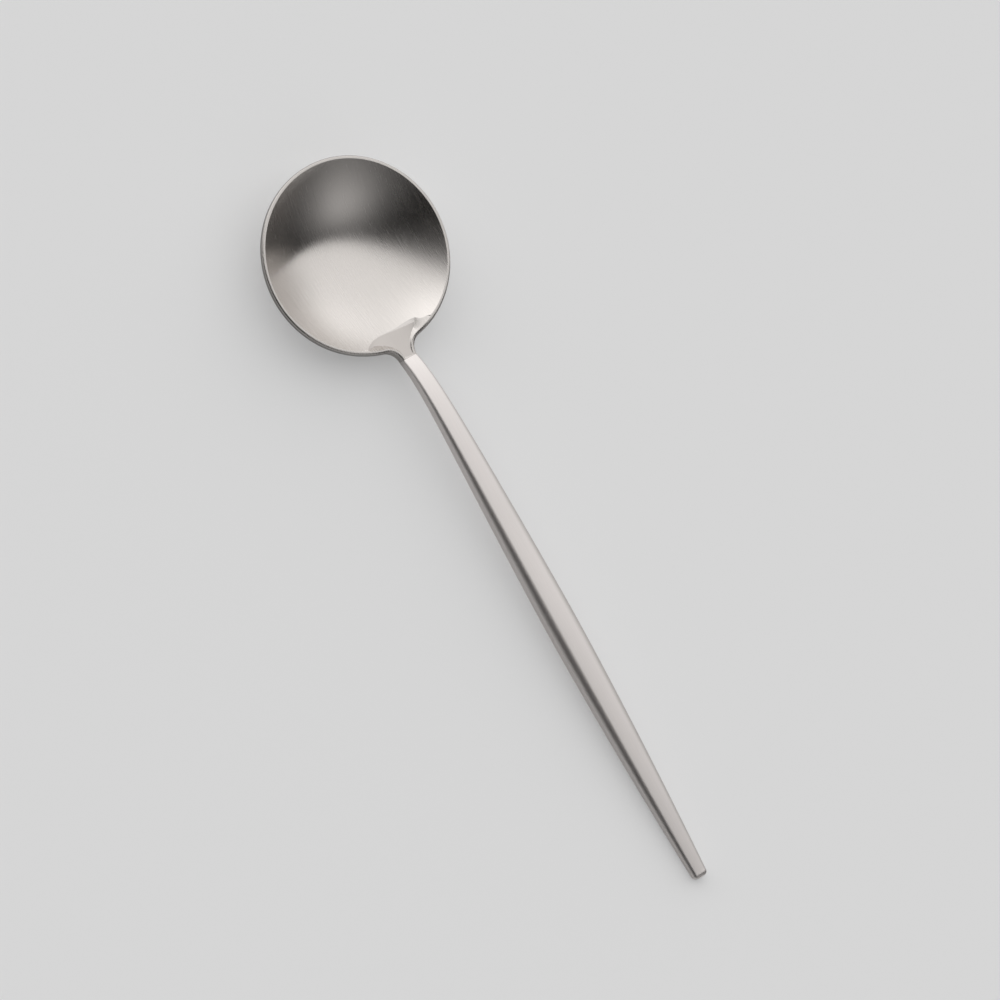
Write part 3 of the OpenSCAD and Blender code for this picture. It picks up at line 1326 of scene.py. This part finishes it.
        full_width, full_thickness = grown("Width") * 0.5, grown("Thickness") * 0.5
        drawn_in = -turn.math("COSINE") + 1.0
        half_width = full_width - size["Tip Length"] * drawn_in
        half_thickness = full_thickness - size["Tip Rounding"] * drawn_in
        shrunk = (half_width / full_width).math("MINIMUM", half_thickness / full_thickness)
        straight = size["Tip Thickness"] * 0.5 + (rounding - along) * size["Rise Slope"]
        bend = ((neck - along) / size["Neck Bend"]).math("EXPONENT")
        return Section(
            x=along + size["Tip Length"] * turn.math("SINE"),
            centre=straight - size["Neck Drop"] * bend,
            half_width=half_width,
            half_thickness=half_thickness,
            corner=grown("Corner") * shrunk,
        )

    def _round(self, section: Section, column: Term) -> tuple[Term, Term, Term, Term]:
        """Goes round a section, with a quarter circle at each corner.

        Args:
            section: the section.
            column: the point's number round it.

        Returns:
            How far the point lies to the left and up, the length round the section up to it, and
            how near it is to the middle of a corner, from 0 to 1.
        """
        per_corner = self.corner_steps + 1.0
        quarter = ((column + 0.5) / per_corner).math("FLOOR")
        turned = (column - quarter * per_corner) / self.corner_steps
        angle = (quarter + turned) * (math.pi / 2)
        middle = (quarter + 0.5) * (math.pi / 2)
        flat_y = section.half_width - section.corner
        flat_z = section.half_thickness - section.corner
        y = middle.math("COSINE").math("SIGN") * flat_y + section.corner * angle.math("COSINE")
        z = middle.math("SINE").math("SIGN") * flat_z + section.corner * angle.math("SINE")
        length = (
            section.corner * (angle - math.pi / 2)
            + flat_y * ((quarter * 0.5).math("CEIL") * 2.0 - 1.0)
            + flat_z * ((quarter + 0.5) * 0.5).math("FLOOR") * 2.0
        )
        return y, z, length, (turned * math.pi).math("SINE")

    @staticmethod
    def _vector(tree: bpy.types.NodeTree, *parts: Term) -> bpy.types.NodeSocket:
        """Joins numbers to a vector.

        Args:
            tree: the node tree.
            parts: its X and Y, and its Z where that isn't zero.

        Returns:
            The vector.
        """
        node = tree.nodes.new("ShaderNodeCombineXYZ")
        for socket, part in zip(node.inputs, parts):
            feed(tree, socket, part)
        return node.outputs["Vector"]

    @staticmethod
    def _step(
        tree: bpy.types.NodeTree, node_type: str, shape: bpy.types.NodeSocket, **values: object
    ) -> bpy.types.NodeSocket:
        """Adds a node that the geometry goes through.

        Args:
            tree: the node tree.
            node_type: the node's type.
            shape: the geometry before it.
            values: the node's other inputs.

        Returns:
            The geometry after it.
        """
        node = tree.nodes.new(node_type)
        tree.links.new(shape, node.inputs[0])
        for name, value in values.items():
            feed(tree, node.inputs[name], value)
        return node.outputs[0]

    @staticmethod
    def _store(
        tree: bpy.types.NodeTree,
        shape: bpy.types.NodeSocket,
        name: str,
        data_type: str,
        domain: str,
        value: Term | bpy.types.NodeSocket,
    ) -> bpy.types.NodeSocket:
        """Stores a named attribute.

        Args:
            tree: the node tree.
            shape: the geometry to store it on.
            name: the attribute's name.
            data_type: its data type.
            domain: its domain.
            value: what to store.

        Returns:
            The geometry with the attribute.
        """
        node = tree.nodes.new("GeometryNodeStoreNamedAttribute")
        node.data_type = data_type
        node.domain = domain
        for socket_name, fed in (("Geometry", shape), ("Name", name), ("Value", value)):
            feed(tree, node.inputs[socket_name], fed)
        return node.outputs["Geometry"]

    def build(self) -> bpy.types.Object:
        """Builds the piece and hangs it on its body.

        Returns:
            The finished handle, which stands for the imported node.
        """
        holder = bpy.data.objects.new("handle_holder", bpy.data.meshes.new("handle_holder"))
        bpy.context.scene.collection.objects.link(holder)
        loft = holder.modifiers.new("Loft", "NODES")
        loft.node_group = self.tree(self.finish.material())
        sizes = self.inputs()
        for item in loft.node_group.interface.items_tree:
            if item.item_type == "SOCKET" and item.in_out == "INPUT" and item.name in sizes:
                loft[item.identifier] = sizes[item.name]
        graph = bpy.context.evaluated_depsgraph_get()
        mesh = bpy.data.meshes.new_from_object(holder.evaluated_get(graph))
        mesh.name = "soup_handle"
        bpy.data.objects.remove(holder)
        smooth_all(mesh, self.crease_degrees)
        piece = bpy.data.objects.new("soup_handle", mesh)
        hang(piece, "handle")
        return piece


# Studio


@dataclass(frozen=True)
class Viewpoint:
    """The camera, at the photograph's viewing angle."""

    place: tuple[float, float, float] = (-0.02721, -0.46891, 1.28701)
    right: tuple[float, float, float] = (0.50043, 0.80979, 0.30627)
    down: tuple[float, float, float] = (0.86562, -0.47461, -0.15951)
    focal_length: float = 216.0
    sensor: float = 36.0
    nearest: float = 0.01
    farthest: float = 20.0

    def build(self) -> bpy.types.Object:
        """Makes the camera and sets it as the scene's own.

        Returns:
            The camera.
        """
        data = bpy.data.cameras.new("viewpoint")
        data.lens = self.focal_length
        data.sensor_width = self.sensor
        data.clip_start, data.clip_end = self.nearest, self.farthest
        camera = bpy.data.objects.new("viewpoint", data)
        bpy.context.scene.collection.objects.link(camera)
        right = Vector(self.right).normalized()
        back = right.cross(-Vector(self.down)).normalized()
        up = back.cross(right)
        turned = Matrix((right, up, back)).transposed().to_4x4()
        camera.matrix_world = Matrix.Translation(self.place) @ turned
        bpy.context.scene.camera = camera
        return camera


@dataclass(frozen=True)
class Glow:
    """A soft round spot in the sky, brighter or darker than what lies round it."""

    name: str
    towards: tuple[float, float, float]
    level: float
    spread: float


@dataclass
class Studio:
    """A pale table under one large round softbox that covers about half of the sky."""

    table: TableFinish = field(default_factory=TableFinish)
    table_radius: float = 3.0
    table_sides: int = 96
    table_drop: float = 0.00003
    box_towards: tuple[float, float, float] = (-0.732, 0.497, 0.466)
    box_reach: float = 0.346
    box_edge: float = 0.035
    box_level: float = 1.2
    box_glows: tuple[Glow, ...] = (
        Glow("low_left", (-0.948, -0.185, 0.259), 0.66, 0.08),
        Glow("low_right", (-0.498, 0.828, 0.259), 0.42, 0.08),
        Glow("frame_beside", (0.0, 0.978, 0.208), -0.3, 0.05),
    )
    room_level: float = 0.01
    room_glows: tuple[Glow, ...] = (
        Glow("window", (0.742, -0.039, 0.669), 0.57, 0.10),
        Glow("low_wall", (0.978, 0.017, 0.208), 0.20, 0.10),
        Glow("flag", (-0.198, -0.630, 0.750), -0.17, 0.04),
    )
    colour: tuple[float, float, float] = (1.0, 1.0, 1.0)

    def sky(self) -> bpy.types.World:
        """Lights the scene with the softbox and the dimmer rest of the room.

        Returns:
            The world.
        """
        world = bpy.data.worlds.new("studio")
        world.use_nodes = True
        tree = world.node_tree
        tree.nodes.clear()
        out = tree.nodes.new("ShaderNodeOutputWorld")
        back = tree.nodes.new("ShaderNodeBackground")
        tree.links.new(back.outputs["Background"], out.inputs["Surface"])
        look = tree.nodes.new("ShaderNodeTexCoord").outputs["Generated"]

        soft = tree.nodes.new("ShaderNodeMapRange")
        soft.interpolation_type = "SMOOTHSTEP"
        soft.inputs["From Min"].default_value = self.box_reach - self.box_edge
        soft.inputs["From Max"].default_value = self.box_reach + self.box_edge
        feed(tree, soft.inputs["Value"], self._towards(tree, look, self.box_towards))
        box = self._light(tree, look, self.box_level, self.box_glows)
        room = self._light(tree, look, self.room_level, self.room_glows)
        feed(tree, back.inputs["Strength"], room.to(box, Term(tree, soft.outputs["Result"])))
        back.inputs["Color"].default_value = (*self.colour, 1)
        bpy.context.scene.world = world
        return world

    @staticmethod
    def _towards(
        tree: bpy.types.NodeTree, look: bpy.types.NodeSocket, direction: tuple[float, float, float]
    ) -> Term:
        """Works out how nearly a look into the sky goes in a direction.

        Args:
            tree: the world's nodes.
            look: the look's own direction.
            direction: the direction to compare it with.

        Returns:
            The cosine of the angle between them.
        """
        dot = tree.nodes.new("ShaderNodeVectorMath")
        dot.operation = "DOT_PRODUCT"
        dot.inputs[1].default_value = Vector(direction).normalized()
        tree.links.new(look, dot.inputs[0])
        return Term(tree, dot.outputs["Value"])

    def _light(
        self,
        tree: bpy.types.NodeTree,
        look: bpy.types.NodeSocket,
        level: float,
        glows: tuple[Glow, ...],
    ) -> Term:
        """Makes an even light with soft spots on it.

        Args:
            tree: the world's nodes.
            look: the direction of a look into the sky.
            level: the even level.
            glows: the spots.

        Returns:
            The light's level in the look's direction.
        """
        total = Term.fixed(tree, level)
        for glow in glows:
            nearness = self._towards(tree, look, glow.towards)
            nearness.socket.node.label = glow.name
            total += ((nearness - 1.0) / glow.spread).math("EXPONENT") * glow.level
        return total.math("MAXIMUM", 0.0)

    def build(self) -> bpy.types.Object:
        """Makes the table and the light.

        Returns:
            The table top.
        """
        mesh = bpy.data.meshes.new("table_top")
        turns = [2 * math.pi * i / self.table_sides for i in range(self.table_sides)]
        ring = [(self.table_radius * math.cos(t), self.table_radius * math.sin(t), 0.0) for t in turns]
        mesh.from_pydata(ring, [], [tuple(range(self.table_sides))])
        mesh.materials.append(self.table.material())
        top = bpy.data.objects.new("table_top", mesh)
        top.location.z = -self.table_drop
        bpy.context.scene.collection.objects.link(top)
        self.sky()
        return top


# Scene


def report(piece: bpy.types.Object) -> None:
    """Logs a piece's name and how many faces and points it has."""
    LOG.info("%s: %d faces, %d points", piece.name, len(piece.data.polygons), len(piece.data.vertices))


def main() -> None:
    """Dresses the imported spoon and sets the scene."""
    logging.basicConfig(level=logging.INFO, format="%(name)s: %(message)s")
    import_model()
    bpy.context.scene.view_settings.view_transform = "Standard"
    Viewpoint().build()
    sizes = SpoonSizes()
    for maker in (Bowl(sizes), Handle(sizes)):
        report(maker.build())
    Studio().build()


if __name__ == "__main__":
    main()
